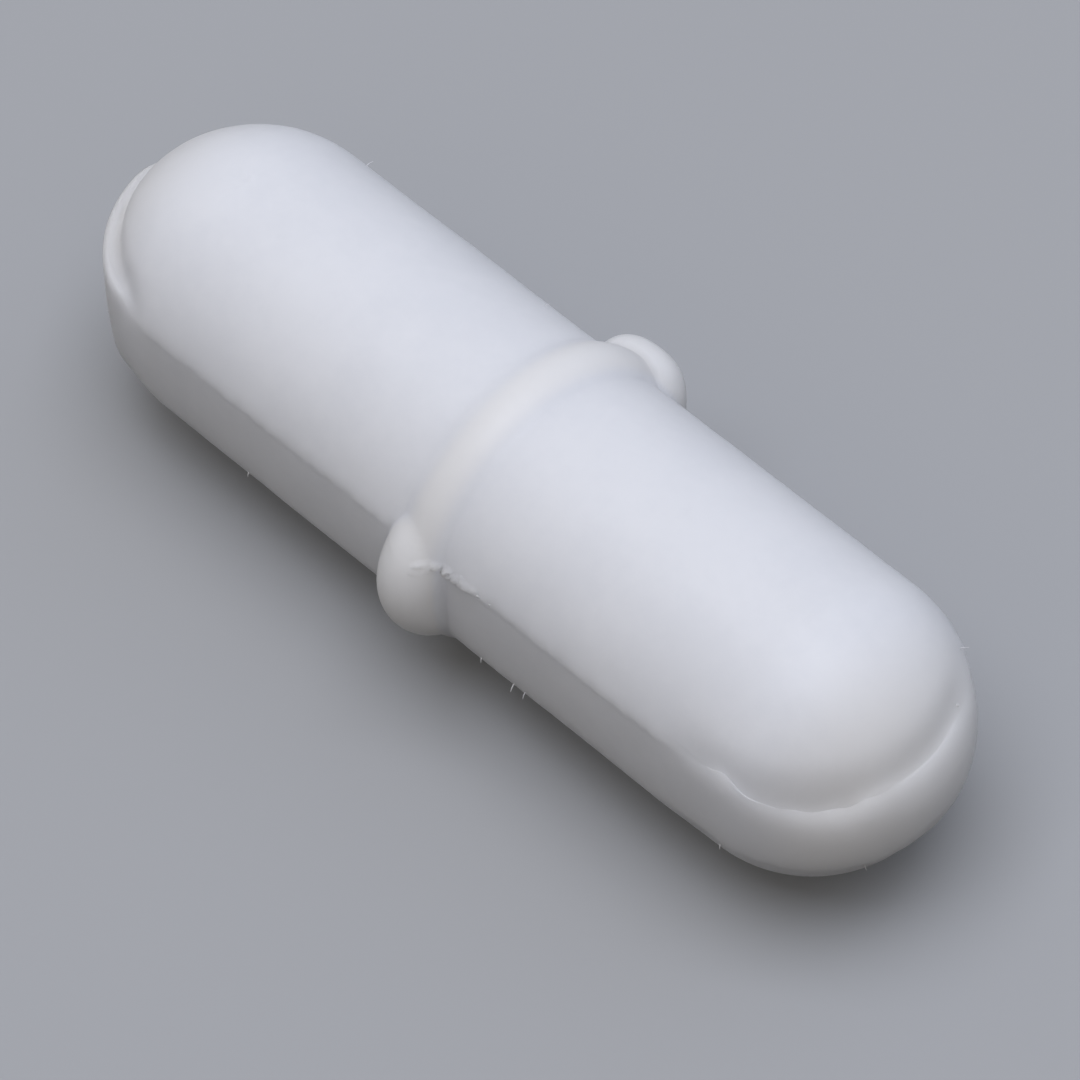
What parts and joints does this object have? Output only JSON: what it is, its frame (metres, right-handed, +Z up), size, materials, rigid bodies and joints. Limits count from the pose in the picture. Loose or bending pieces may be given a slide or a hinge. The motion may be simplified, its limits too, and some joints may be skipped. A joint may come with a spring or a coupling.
{
  "type": "magnetic stir bar",
  "caption": "White moulded stir bar with rounded ends, a pivot ring round its middle and a sealed rod magnet inside.",
  "frame": {"origin": "lowest point of the pivot ring, on the middle plane of the bar, on the surface that the bar stands on", "axes": "+X along the bar, +Y across it towards the higher of the two side lugs, +Z up, so that the two edges of the moulded side band are level"},
  "size_m": [0.0294, 0.0104, 0.0091],
  "materials": {
    "jacket": "waxy white fluoropolymer, as moulded, slightly see-through at thin edges",
    "magnet": "ground grey magnet alloy"
  },
  "bodies": {
    "root": {"jacket": "jacket", "magnet": "magnet"}
  },
  "joints": []
}
